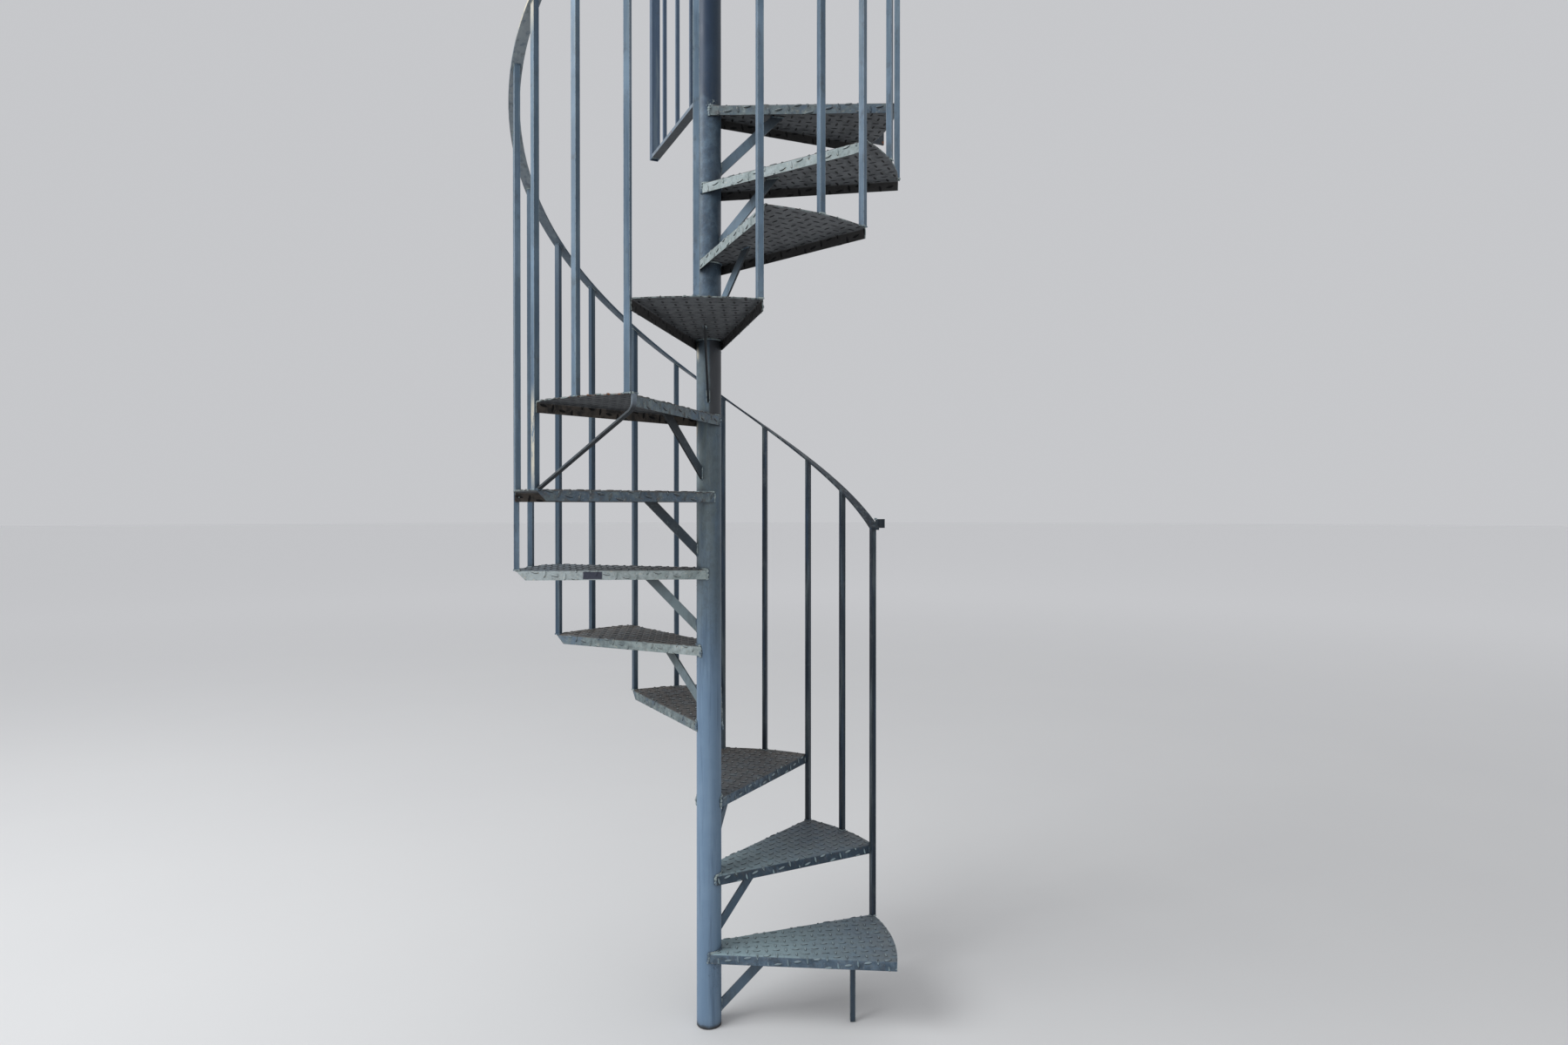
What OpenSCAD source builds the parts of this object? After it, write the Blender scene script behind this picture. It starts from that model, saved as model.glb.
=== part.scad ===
// Spiral staircase of folded checker plate treads on one centre pole.
// Origin at the centre of the pole's foot, +Z up, millimetres.
// The stair climbs counter-clockwise when it is seen from above.

/* [Flight] */
// Number of treads
tread_count = 12; // [10:1:13]
// Height from one tread's top to the next
rise = 235; // [190:1:245]
// Angle from one tread to the next
step_angle = 33; // [28:0.5:34]
// Bearing of the first tread's front outer corner
start_angle = -8.8; // [-20:0.1:20]
// Radius of the treads' outer edge
tread_radius = 579; // [480:1:720]

/* [Centre pole] */
// Outside diameter of the pole
pole_d = 76.1; // [60:0.1:102]
// Wall thickness of the pole
pole_wall = 3.2; // [2:0.1:6]
// Pole top above the last tread
pole_over_last = 1130; // [1110:10:1300]
// Thickness of the foot disc
foot_t = 8; // [4:1:20]
// Height of the domed cap
cap_h = 12; // [6:1:30]

/* [Treads] */
// Thickness of the checker plate
sheet_t = 3; // [2:0.5:5]
// Depth of the folded flanges, from the tread's top
flange_h = 31; // [25:1:50]
// Outside radius of the folds
fold_r = 7; // [5.5:0.5:10]
// Last tread whose rear flange is cut at 45 degrees
last_mitred = 8; // [0:1:8]
// Length left beside that cut, on the plate's edge
mitre_start = 3; // [0:1:10]
// Length cut off the last tread's front flange
last_cutback = 30; // [5:1:60]

/* [Struts] */
// Width of the flat bar
strut_w = 28; // [20:1:45]
// Thickness of the flat bar
strut_t = 6; // [4:0.5:10]
// Radius where a strut's lower edge meets the tread
strut_reach = 235; // [160:1:300]
// Height of a strut's lowest point, at the pole, above the tread below
strut_clear = 37; // [10:1:80]

/* [Balusters] */
// Side of the square bars
bar_w = 16; // [12:1:20]
// How far the bars stand out past a tread's outer edge
bar_overhang = 4; // [0:0.5:6]

/* [Handrail] */
// Width of the flat handrail
rail_w = 32; // [25:1:50]
// Thickness of the flat handrail
rail_t = 8; // [6:1:12]
// Handrail top above a tread, at its rear outer corner
rail_over_tread = 1314; // [1000:1:1400]
// Angle that the handrail runs past its first and last bar
rail_overrun = 2.4; // [1.5:0.1:6]
// Length of the tie, outward from the handrail
tie_l = 34; // [15:1:80]
// Height of the tie
tie_h = 30; // [15:1:40]
// Thickness of the tie
tie_t = 5; // [3:0.5:8]

/* [Props and ties] */
// Bearing of the leg under the first tread
leg_angle = 1.7; // [-3:0.1:12]
// Distance of that leg from the axis
leg_radius = 446; // [350:1:470]
// Tread whose rear outer corner carries the bent brace
brace_tread = 8; // [2:1:8]
// Width of the brace
brace_w = 16; // [12:1:35]
// Thickness of the brace
brace_t = 5; // [4:0.5:10]
// Inside bend radius of the brace
brace_bend_r = 25; // [20:1:60]
// Distance from the bars' outer faces in to the brace
brace_inset = 6; // [5:0.5:12]
// Depth below the tread's top at which the brace's bend starts
brace_bend_drop = 21; // [20:1:45]
// Angle from the last tread's front corner to the bracket on it
bracket_angle = 31; // [18:0.5:31]
// Height of that bracket
bracket_h = 45; // [20:1:60]
// Thickness of that bracket
bracket_t = 6; // [4:0.5:8]
// Length of that bracket on the tread
bracket_seat = 25; // [15:1:60]
// How far it runs past the tread's outer edge
bracket_reach = 48; // [20:1:60]

/* [Guard beside the pole] */
// Bearing of the guard's far post, seen from the pole
guard_angle = 114.3; // [100:0.1:140]
// Distance from the axis to the guard's far post
guard_length = 585; // [560:1:700]
// Width of the guard's flat bottom rail
guard_rail_w = 30; // [20:1:40]
// Thickness of the guard's bottom rail
guard_rail_t = 12; // [6:1:15]
// Bottom rail's top above the last tread
guard_over_last = 66; // [30:1:120]
// Number of bars in the guard
guard_bar_count = 3; // [2:1:3]
// Distance from the axis to the first of these bars
guard_first_bar = 166; // [60:1:180]
// Distance from one of these bars to the next
guard_bar_gap = 148; // [120:1:160]
// Side of these bars
guard_bar_w = 12; // [10:1:16]
// Side of the guard's square post
guard_post_w = 30; // [20:1:50]
// Wall thickness of that post
guard_post_wall = 2.5; // [2:0.5:4]
// Guard top above the last tread
guard_top_over_last = 1080; // [900:10:1100]

/* [Hidden] */
function numbered(name, k) = str(name, k < 10 ? "_0" : "_", k);
$fn = 96;

paint = "#5f7687";
plate_paint = "#6f8084";
dark_paint = "#43545f";

// Room for the weld where a piece meets the round pole or a flange
weld_gap = 0.3;
// Degrees along the handrail from one ring of points to the next
rail_step = 3;
// Extra length by which cutting shapes pass through
over = 1;

pole_r = pole_d / 2;
pole_bore_r = pole_r - pole_wall;
last_top = tread_count * rise;
pole_h = last_top + pole_over_last;
seat_r = pole_r + weld_gap;
// The fold lines run past the pole's sides, with the flanges' inner faces in line with them
edge_offset = pole_r + sheet_t;
// Distance along a fold line at which the flange starts, just clear of the pole
flange_start = sqrt(pow(seat_r + weld_gap, 2) - pow(pole_r, 2));
// Angle at an outer corner between the fold line and the radius
skew = asin(edge_offset / tread_radius);
half_spread = step_angle / 2 - skew;
// Distance along a fold line from the pole's side to the outer corner
corner_run = tread_radius * cos(skew);
bar_face = tread_radius + bar_overhang;
bar_radius = bar_face - bar_w / 2;
rise_per_degree = rise / step_angle;
// Drop from a tread's top to its strut's lowest point
strut_drop = rise - strut_clear;
rail_slope = atan(rise_per_degree * 180 / (PI * bar_radius));

function corner_angle(k) = start_angle + k * step_angle;
function middle_angle(k) = start_angle + (k - 0.5) * step_angle;
// Underside of the handrail at any bearing along the flight
function rail_under(bearing) =
    rise + rail_over_tread - rail_t + (bearing - corner_angle(1)) * rise_per_degree;

// Turns to a tread's centre line and lifts to its top
module at_tread(k) {
    rotate([0, 0, middle_angle(k)])
        translate([0, 0, k * rise])
            children();
}

// Pole
module centre_pole() {
    color(paint)
    difference() {
        cylinder(r = pole_r, h = pole_h);
        translate([0, 0, -over])
            cylinder(r = pole_bore_r, h = pole_h + 2 * over);
    }
}

// Disc that closes the pole's foot
module pole_foot() {
    color(dark_paint)
    cylinder(r = pole_bore_r - weld_gap, h = foot_t);
}

// Shallow dome with a plug that sits in the pole
module pole_cap() {
    dome_r = (pole_r * pole_r + cap_h * cap_h) / (2 * cap_h);
    color(paint)
    translate([0, 0, pole_h]) {
        intersection() {
            cylinder(r = pole_r, h = cap_h);
            translate([0, 0, cap_h - dome_r])
                sphere(r = dome_r);
        }
        translate([0, 0, -foot_t])
            cylinder(r = pole_bore_r - weld_gap, h = foot_t);
    }
}

// Outline of a tread's flat part, centre line on +X, ending just short of the bends
module plate_outline() {
    reach = edge_offset - fold_r - over;
    run = tread_radius * 1.1;
    near = [-reach * sin(half_spread), reach * cos(half_spread)];
    far = near + run * [cos(half_spread), sin(half_spread)];
    polygon([near, far, [far[0], -far[1]], [near[0], -near[1]]]);
}

// Section across a folded edge: a quarter bend over a straight flange, lapping the flat part
module fold_section() {
    translate([-2 * over, fold_r - sheet_t])
        square([2 * over, sheet_t]);
    intersection() {
        difference() {
            circle(r = fold_r);
            circle(r = fold_r - sheet_t);
        }
        square(fold_r);
    }
    translate([fold_r - sheet_t, fold_r - flange_h])
        square([sheet_t, flange_h - fold_r]);
}

// Folded edge on a tread's rear side, from the pole's side out past the arc
module folded_edge() {
    rotate([0, 0, half_spread])
        translate([flange_start, edge_offset - fold_r, -fold_r])
            rotate([90, 0, 90])
                linear_extrude(height = tread_radius * 1.1)
                    fold_section();
}

// Trims the rear flange from just under the plate, upright or, with lean 1, at 45 degrees
module flange_trim(start, lean) {
    top = -sheet_t - over;
    bottom = -flange_h - over;
    rotate([0, 0, half_spread])
        translate([0, edge_offset + over, 0])
            rotate([90, 0, 0])
                linear_extrude(height = fold_r + 2 * over)
                    polygon([
                        [start, top],
                        [start + flange_h + tread_radius * 0.1, top],
                        [start + flange_h + tread_radius * 0.1, bottom],
                        [start + lean * (bottom - top), bottom]
                    ]);
}

// Folded sheet with its top at z = 0 and its centre line on +X
module tread_sheet(mitred, cut_back) {
    difference() {
        intersection() {
            union() {
                translate([0, 0, -sheet_t])
                    linear_extrude(height = sheet_t)
                        plate_outline();
                folded_edge();
                mirror([0, 1, 0])
                    folded_edge();
            }
            translate([0, 0, -flange_h - over])
                cylinder(r = tread_radius, h = flange_h + 2 * over, $fn = 180);
        }
        translate([0, 0, -flange_h - over])
            cylinder(r = seat_r, h = flange_h + 2 * over);
        if (mitred)
            flange_trim(corner_run - mitre_start, 1);
        if (cut_back)
            mirror([0, 1, 0])
                flange_trim(corner_run - last_cutback, 0);
    }
}

module tread(k) {
    color(plate_paint)
    at_tread(k)
        tread_sheet(k <= last_mitred, k == tread_count);
}

// Flat bar on edge under a tread's centre line, coped to the pole
module strut(k) {
    lean = atan((strut_reach - seat_r) / (strut_drop - sheet_t));
    inside = seat_r / 2;
    low = -strut_drop - (seat_r - inside) / tan(lean);
    upright = strut_w / sin(lean);
    color(dark_paint)
    at_tread(k)
        difference() {
            rotate([90, 0, 0])
                translate([0, 0, -strut_t / 2])
                    linear_extrude(height = strut_t)
                        polygon([
                            [inside, low],
                            [strut_reach, -sheet_t],
                            [strut_reach - upright * tan(lean), -sheet_t],
                            [inside, low + upright]
                        ]);
            translate([0, 0, low - over])
                cylinder(r = seat_r, h = 2 * over - low);
        }
}

// Square bar from a tread's top, outer face at x = 0, a little too long for the handrail
module long_bar(k, bearing) {
    translate([-bar_w, -bar_w / 2, k * rise])
        cube([bar_w, bar_w, rail_under(bearing) + bar_w - k * rise]);
}

// Trims a bar at the given bearing to the slope of the handrail's underside
module trimmed_to_rail(bearing) {
    difference() {
        children();
        rotate([0, 0, bearing])
            translate([bar_radius, 0, rail_under(bearing) - weld_gap])
                rotate([rail_slope, 0, 0])
                    translate([-2 * bar_w, -2 * bar_w, 0])
                        cube(4 * bar_w);
    }
}

// Bars that stand on each tread's rear corner, against the next front flange
module corner_balusters() {
    stand_off = edge_offset + weld_gap + bar_w / 2;
    run = corner_run + bar_overhang;
    color(paint)
    for (k = [1:tread_count - 1]) {
        flange_bearing = middle_angle(k + 1) - half_spread;
        bearing = flange_bearing - atan(stand_off / (run - bar_w / 2));
        trimmed_to_rail(bearing)
            rotate([0, 0, flange_bearing])
                translate([run, -stand_off, 0])
                    long_bar(k, bearing);
    }
}

// Bars that stand on the middle of each tread's outer edge
module middle_balusters() {
    color(paint)
    for (k = [2:tread_count - 1])
        trimmed_to_rail(middle_angle(k))
            rotate([0, 0, middle_angle(k)])
                translate([bar_face, 0, 0])
                    long_bar(k, middle_angle(k));
}

// Flat bar wound in a helix over the bars
module handrail() {
    first = corner_angle(1) - rail_overrun;
    last = corner_angle(tread_count - 1) + rail_overrun;
    count = ceil((last - first) / rail_step);
    inner = bar_radius - rail_w / 2;
    outer = bar_radius + rail_w / 2;
    section = [[inner, 0], [outer, 0], [outer, rail_t], [inner, rail_t]];
    bearings = [for (i = [0:count]) first + (last - first) * i / count];
    points = [
        for (b = bearings)
            for (p = section)
                [p[0] * cos(b), p[0] * sin(b), rail_under(b) + p[1]]
    ];
    // Two triangles a side; top and bottom split alike, so the bar keeps its thickness
    sides = [
        for (i = [0:count - 1])
            for (j = [0:3])
                let (a = 4 * i + j, b = 4 * i + (j + 1) % 4)
                    for (face = j == 2
                        ? [[a, b, a + 4], [b, b + 4, a + 4]]
                        : [[a, b, b + 4], [a, b + 4, a + 4]])
                        face
    ];
    ends = [[3, 2, 1, 0], [for (j = [0:3]) 4 * count + j]];
    color(paint)
    polyhedron(points, concat(ends, sides));
}

// Small flat that holds the handrail's lower end, outward from the rail
module handrail_wall_tie() {
    bearing = corner_angle(1);
    color(paint)
    rotate([0, 0, bearing])
        translate([
            bar_radius + rail_w / 2 + weld_gap,
            -tie_t / 2,
            rail_under(bearing) + (rail_t - tie_h) / 2
        ])
            cube([tie_l, tie_t, tie_h]);
}

// Square leg from z = 0 to the first tread's underside
module first_tread_leg() {
    color(paint)
    rotate([0, 0, leg_angle])
        translate([leg_radius - bar_w / 2, -bar_w / 2, 0])
            cube([bar_w, bar_w, rise - sheet_t]);
}

// Flat strap from a tread's rear flange down to the rear corner of the tread below
module bent_brace() {
    outer_x = bar_face * cos(step_angle / 2) - brace_inset;
    // Face against the upper tread's rear flange
    flange_y = outer_x * tan(half_spread) + edge_offset / cos(half_spread) + weld_gap;
    // Face of the corner bar that the lower end meets
    bar_run = corner_run + bar_overhang - bar_w;
    bar_y = -bar_run * sin(half_spread) - (edge_offset + weld_gap) * cos(half_spread);
    // The lower tread's rear bend falls away under the brace's inner corner, and the brace follows it
    lower_spread = step_angle - half_spread;
    past_bend = (outer_x - brace_w) * sin(lower_spread) + (bar_y + weld_gap) * cos(lower_spread)
        - (edge_offset - fold_r);
    sag = fold_r - sqrt(pow(fold_r, 2) - pow(min(max(past_bend, 0), fold_r), 2));
    low = [bar_y + weld_gap, -rise + weld_gap - sag];
    // The bend starts beside the flange's 45 degree cut and turns to the corner below
    bend = [flange_y - brace_bend_r, -brace_bend_drop];
    outside_r = brace_bend_r + brace_t;
    span = bend - low;
    fall = atan2(span[1], span[0]) - asin(outside_r / norm(span));
    turn = [for (i = [0:12]) (fall - 90) * i / 12];
    inner_end = bend + brace_bend_r * [sin(fall), -cos(fall)];
    upper = [low[0], inner_end[1] - (inner_end[0] - low[0]) * tan(fall)];
    color(dark_paint)
    at_tread(brace_tread)
        translate([outer_x - brace_w, 0, 0])
            rotate([90, 0, 90])
                linear_extrude(height = brace_w)
                    polygon(concat(
                        [[flange_y, 0], [flange_y + brace_t, 0]],
                        [for (a = turn) bend + outside_r * [cos(a), sin(a)]],
                        [low, upper],
                        [for (i = [12:-1:0]) bend + brace_bend_r * [cos(turn[i]), sin(turn[i])]]
                    ));
}

// Flat on edge that stands on the last tread and runs out past its edge
module top_wall_bracket() {
    color(dark_paint)
    rotate([0, 0, corner_angle(tread_count - 1) + bracket_angle])
        translate([tread_radius - bracket_seat, -bracket_t / 2, last_top])
            cube([bracket_seat + bracket_reach, bracket_t, bracket_h]);
}

// Turns to the guard's line and lifts to the last tread's top
module at_guard() {
    rotate([0, 0, guard_angle])
        translate([0, 0, last_top])
            children();
}

// Flat bar laid flat, from the pole to the guard's post
module guard_bottom_rail() {
    color(dark_paint)
    at_guard()
        difference() {
            translate([0, -guard_rail_w / 2, guard_over_last - guard_rail_t])
                cube([guard_length - guard_post_w / 2, guard_rail_w, guard_rail_t]);
            translate([0, 0, guard_over_last - guard_rail_t - over])
                cylinder(r = seat_r, h = guard_rail_t + 2 * over);
        }
}

// Upright bars between the guard's two rails
module guard_bars() {
    color(paint)
    at_guard()
        for (i = [1:guard_bar_count])
            translate([
                guard_first_bar + guard_bar_gap * (i - 1) - guard_bar_w / 2,
                -guard_bar_w / 2,
                guard_over_last
            ])
                cube([guard_bar_w, guard_bar_w, guard_top_over_last - rail_t - guard_over_last]);
}

// Flat that closes the guard, laid over the bars and the post
module guard_top_rail() {
    color(paint)
    at_guard()
        difference() {
            translate([0, -rail_w / 2, guard_top_over_last - rail_t])
                cube([guard_length + guard_post_w / 2, rail_w, rail_t]);
            translate([0, 0, guard_top_over_last - rail_t - over])
                cylinder(r = seat_r, h = rail_t + 2 * over);
        }
}

// Square tube that the top rail closes
module guard_post() {
    bottom = guard_over_last - guard_rail_t;
    color(paint)
    at_guard()
        translate([guard_length, 0, bottom])
            linear_extrude(height = guard_top_over_last - rail_t - bottom)
                difference() {
                    square(guard_post_w, center = true);
                    square(guard_post_w - 2 * guard_post_wall, center = true);
                }
}

centre_pole();
pole_foot();
pole_cap();
for (k = [1:tread_count]) {
    tread(k);
    strut(k);
}
corner_balusters();
middle_balusters();
handrail();
handrail_wall_tie();
first_tread_leg();
bent_brace();
top_wall_bracket();
guard_bottom_rail();
guard_bars();
guard_top_rail();
guard_post();
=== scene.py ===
# %% [markdown]
# # A spiral staircase of folded checker plate
# The object is an outdoor steel stair. Twelve steps are folded from checker plate and welded round
# one pole, square bars stand on their outer corners, and a flat handrail winds over the bars.
# The construction comes as a frame of named nodes, in metres with +Z up, and nothing in it moves.
# This script adds what the frame leaves out: the pressed pattern of the plate, the weld beads and
# spatter, and a blue-grey paint that has been brushed on more than once and has weathered outdoors.

# %% Load the frame
import random
from math import asin, atan2, ceil, cos, degrees, hypot, pi, radians, sin

import bmesh
import bpy
from mathutils import Matrix, Vector


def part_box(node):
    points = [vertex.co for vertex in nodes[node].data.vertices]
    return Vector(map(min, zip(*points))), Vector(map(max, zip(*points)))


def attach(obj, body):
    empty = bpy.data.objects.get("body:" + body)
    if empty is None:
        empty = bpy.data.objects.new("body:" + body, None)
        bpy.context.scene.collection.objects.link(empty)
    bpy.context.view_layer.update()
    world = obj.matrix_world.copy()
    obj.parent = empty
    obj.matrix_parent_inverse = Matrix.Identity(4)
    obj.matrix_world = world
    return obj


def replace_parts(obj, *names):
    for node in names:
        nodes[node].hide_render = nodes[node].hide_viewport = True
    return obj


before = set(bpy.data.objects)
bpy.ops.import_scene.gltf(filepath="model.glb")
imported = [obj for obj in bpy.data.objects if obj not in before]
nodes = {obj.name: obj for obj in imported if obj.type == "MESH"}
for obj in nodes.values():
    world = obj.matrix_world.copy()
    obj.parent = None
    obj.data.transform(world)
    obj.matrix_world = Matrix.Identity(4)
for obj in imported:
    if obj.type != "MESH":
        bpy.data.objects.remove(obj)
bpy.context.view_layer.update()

# %% [markdown]
# ## Sizes come from the frame
# A dressing that has its own numbers drifts away from the thing it dresses. So the radius of the
# pole, the rise and each step's bearing are measured on the nodes themselves. Only what can't be
# seen from outside a mesh, such as the sheet's thickness, is a named value here.

# %% Measure the pole and the flight
SHEET = 0.003
FOLD_RADIUS = 0.007
TREADS = sorted(name for name in nodes if name.startswith("tread_"))


def points_of(name):
    """The points of a node's mesh."""
    return [vertex.co.copy() for vertex in nodes[name].data.vertices]


def top_of(name):
    """Height of a node's highest point."""
    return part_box(name)[1][2]


pole_low, pole_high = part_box("centre_pole")
POLE_RADIUS = (pole_high[0] - pole_low[0]) / 2
TREAD_RADIUS = max(hypot(point.x, point.y) for point in points_of(TREADS[0]))
FLANGE = top_of(TREADS[0]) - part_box(TREADS[0])[0][2]
RISE = top_of(TREADS[1]) - top_of(TREADS[0])


def bearing_of(name):
    """Bearing of a tread's centre line, halfway between the ends of its outer arc."""
    rim = [point.xy for point in points_of(name)
           if point.xy.length > TREAD_RADIUS - 0.001 and point.z > top_of(name) - 0.001]
    rough = sum(rim, Vector((0, 0)))
    turns = [rough.angle_signed(point) for point in rim]
    return atan2(rough.y, rough.x) - (min(turns) + max(turns)) / 2


def seat_of(name):
    """Matrix from a tread's own frame, centre line on +X and top at zero, to its place."""
    return Matrix.Translation((0, 0, top_of(name))) @ Matrix.Rotation(bearing_of(name), 4, "Z")


STEP_ANGLE = (bearing_of(TREADS[1]) - bearing_of(TREADS[0])) % (2 * pi)
EDGE = POLE_RADIUS + SHEET
HALF_SPREAD = STEP_ANGLE / 2 - asin(EDGE / TREAD_RADIUS)
# For the rear and the front side: the way out across the fold, and the way along it from the pole
REAR, FRONT = [(Vector((-sin(HALF_SPREAD), side * cos(HALF_SPREAD), 0)),
                Vector((cos(HALF_SPREAD), side * sin(HALF_SPREAD), 0))) for side in (1, -1)]
print(f"pole {POLE_RADIUS:.5f}, treads {TREAD_RADIUS:.4f}, rise {RISE:.4f}, step {degrees(STEP_ANGLE):.2f}")

# %% [markdown]
# ## Shader maths written as Python
# A finish is a sum of masks: dirt here, but not there, and less of it on the lozenges. Wired by
# hand, that is dozens of boxes. A small class around a socket lets the same sum be written as
# `1 - mask` or `dirt * low`, and each operator adds its own Math node.

# %% Wrap a socket


class Wire:
    """One output socket of a finish, which adds and multiplies like a number."""

    def __init__(self, finish, socket):
        self.finish, self.socket = finish, socket

    def maths(self, operation, first, second):
        """Adds one Math node of two values."""
        return self.finish.add("ShaderNodeMath", {"operation": operation}, {0: first, 1: second})

    def __add__(self, other):
        return self.maths("ADD", self, other)

    def __sub__(self, other):
        return self.maths("SUBTRACT", self, other)

    def __rsub__(self, other):
        return self.maths("SUBTRACT", other, self)

    def __mul__(self, other):
        return self.maths("MULTIPLY", self, other)

    def __mod__(self, other):
        return self.maths("MODULO", self, other)

    __radd__, __rmul__ = __add__, __mul__


# %% [markdown]
# ## One method for every other node
# All other nodes come from `add`. It takes the node's type, then its settings, then the values or
# links of its sockets. Settings go first because some, such as the type of a Mix node, change
# which sockets the node has. On top of it stand a few words for what a painter does: fade one value
# in between two limits, lay one colour over another, read a noise.

# %% Describe a finish


class Finish:
    """A material under construction."""

    def __init__(self, name):
        self.material = bpy.data.materials.new(name)
        self.material.use_nodes = True
        self.tree = self.material.node_tree
        self.tree.nodes.clear()
        self.place = self.add("ShaderNodeTexCoord", output="Object")

    def add(self, kind, settings=None, sockets=None, output=0):
        """Adds a node of this kind, and gives one of its outputs where it has any."""
        node = self.tree.nodes.new(kind)
        for key, value in (settings or {}).items():
            setattr(node, key, value)
        for key, value in (sockets or {}).items():
            if isinstance(value, Wire):
                self.tree.links.new(value.socket, node.inputs[key])
            else:
                node.inputs[key].default_value = value
        return Wire(self, node.outputs[output]) if node.outputs else None

    def vectors(self, operation, first, second=(0, 0, 0), output="Value"):
        """Adds a Vector Math node, and gives its number or, where asked, its vector."""
        return self.add("ShaderNodeVectorMath", {"operation": operation}, {0: first, 1: second}, output)

    def fade(self, value, low, high):
        """Rises smoothly from 0 at low to 1 at high, or falls where high is the smaller."""
        return self.add("ShaderNodeMapRange", {"interpolation_type": "SMOOTHSTEP"},
                        {"Value": value, "From Min": low, "From Max": high})

    def over(self, colour, mask, coat):
        """The colour with a coat laid over it where the mask is 1."""
        # A Mix node has sockets for numbers, vectors and colours: 6, 7 and output 2 are the colours
        return self.add("ShaderNodeMix", {"data_type": "RGBA"}, {0: mask, 6: colour, 7: coat}, 2)

    def stretched(self, x, y, z):
        """The place on the object, scaled apart along the three axes."""
        return self.vectors("MULTIPLY", self.place, (x, y, z), "Vector")

    def noise(self, scale, detail=4.0, roughness=0.55, place=None, distortion=0.0):
        """A cloudy value round 0.5, finer where the scale is larger."""
        return self.add("ShaderNodeTexNoise", None, {
            "Vector": place or self.place, "Scale": scale, "Detail": detail,
            "Roughness": roughness, "Distortion": distortion})

    def axis(self, letter):
        """Where a place lies along one axis, in metres."""
        return self.add("ShaderNodeSeparateXYZ", None, {0: self.place}, letter.upper())

    def facing(self, letter):
        """How far the surface faces along an axis, from -1 to 1."""
        normal = self.add("ShaderNodeNewGeometry", output="Normal")
        return self.add("ShaderNodeSeparateXYZ", None, {0: normal}, letter.upper())

    def along(self, way):
        """How far a place lies from the origin along a direction."""
        return self.vectors("DOT_PRODUCT", self.place, way)

    def between(self, value, low, high, soft):
        """1 between two limits, with a soft border."""
        return self.fade(value, low - soft, low + soft) * self.fade(value, high + soft, high - soft)

    def near(self, spot, radius):
        """1 at a spot on the object, falling to 0 at the radius."""
        return self.fade(self.vectors("DISTANCE", self.place, spot), radius, radius * 0.4)

    def edges(self, reach):
        """1 on the sharp edges of the steel, where a rounded normal leaves the flat one."""
        flat = self.add("ShaderNodeNewGeometry", output="Normal")
        rounded = self.add("ShaderNodeBevel", {"samples": 4}, {"Radius": reach})
        return self.fade(self.vectors("DOT_PRODUCT", flat, rounded), 0.995, 0.80)

    def corners(self, reach):
        """1 deep in the corners between pieces, where dirt stays and shade falls, so colour laid there is
        painted shade as well as dirt.
        """
        open_sky = self.add("ShaderNodeAmbientOcclusion", {"samples": 4}, {"Distance": reach}, "AO")
        return self.fade(open_sky, 0.85, 0.35)

    def close(self, colour, roughness, height, depth, round_edges=0.0012, shine=0.25):
        """Ends the finish: a shader with this colour and roughness, and the height as a bump."""
        rounded = self.add("ShaderNodeBevel", {"samples": 4}, {"Radius": round_edges})
        bump = self.add("ShaderNodeBump", None, {
            "Strength": 1.0, "Distance": depth, "Height": height, "Normal": rounded})
        shader = self.add("ShaderNodeBsdfPrincipled", None, {
            "Base Color": colour, "Roughness": roughness, "Specular IOR Level": shine, "Normal": bump})
        self.add("ShaderNodeOutputMaterial", None, {"Surface": shader})
        print(f"{self.material.name}: {len(self.tree.nodes)} shader nodes")
        return self.material


def rgb(red, green, blue):
    """A screen colour of 0 to 255 as the linear colour that a shader takes."""
    linear = [((c / 255 + 0.055) / 1.055) ** 2.4 if c > 10 else c / 3295 for c in (red, green, blue)]
    return (*linear, 1.0)


# %% [markdown]
# ## The colours on the object
# The stair has one paint, but it shows many colours: the first coat is a clear blue-grey, the
# plates have gone grey-green where feet and rain wore them, and whatever faces down is darker,
# partly with soot and partly with painted shade. Dirt on the plates is brown-grey, and rust shows only in
# flecks and along a few edges.

# %% Name the colours
BLUE_GREY = rgb(106, 131, 156)
PALE_BLUE = rgb(136, 160, 182)
BAR_BLUE = rgb(95, 115, 132)
WORN_BLUE = rgb(138, 159, 165)
DEEP_BLUE = rgb(58, 78, 100)
DARK_BLUE = rgb(38, 56, 68)
NIGHT_BLUE = rgb(36, 54, 76)
SLATE = rgb(90, 108, 124)
GREEN_GREY = rgb(112, 125, 128)
CHALK_GREEN = rgb(154, 167, 167)
PALE_CHALK = rgb(180, 190, 192)
IRON_GREY = rgb(74, 80, 84)
BELOW_GREY = rgb(102, 105, 108)
DIRT_BROWN = rgb(88, 80, 72)
DARK_BROWN = rgb(56, 51, 45)
SOOT_AND_SHADE = rgb(34, 37, 40)
RUST = rgb(140, 84, 46)
DARK_RUST = rgb(74, 46, 33)
TOUCH_UP = rgb(52, 54, 70)
CREAM = rgb(206, 198, 178)

# %% [markdown]
# ## What all the paint has in common
# Brushed paint outdoors has soft faded patches, streaks where rain runs down, pinhead rust and
# a faint orange-peel surface. These are made once, as functions that any finish can call.

# %% Weather a painted surface


def faded(finish, colour, pale, amount):
    """Broad soft patches in which the paint has gone paler."""
    patches = finish.fade(finish.noise(5.5, 5.0, 0.6), 0.42, 0.72)
    return finish.over(colour, patches * amount, pale)


def streaked(finish, colour, dark, amount, fine=60.0):
    """Fine streaks that run down the surface."""
    runs = finish.noise(fine, 5.0, 0.65, finish.stretched(1, 1, 0.045))
    return finish.over(colour, finish.fade(runs, 0.48, 0.70) * amount, dark)


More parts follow.
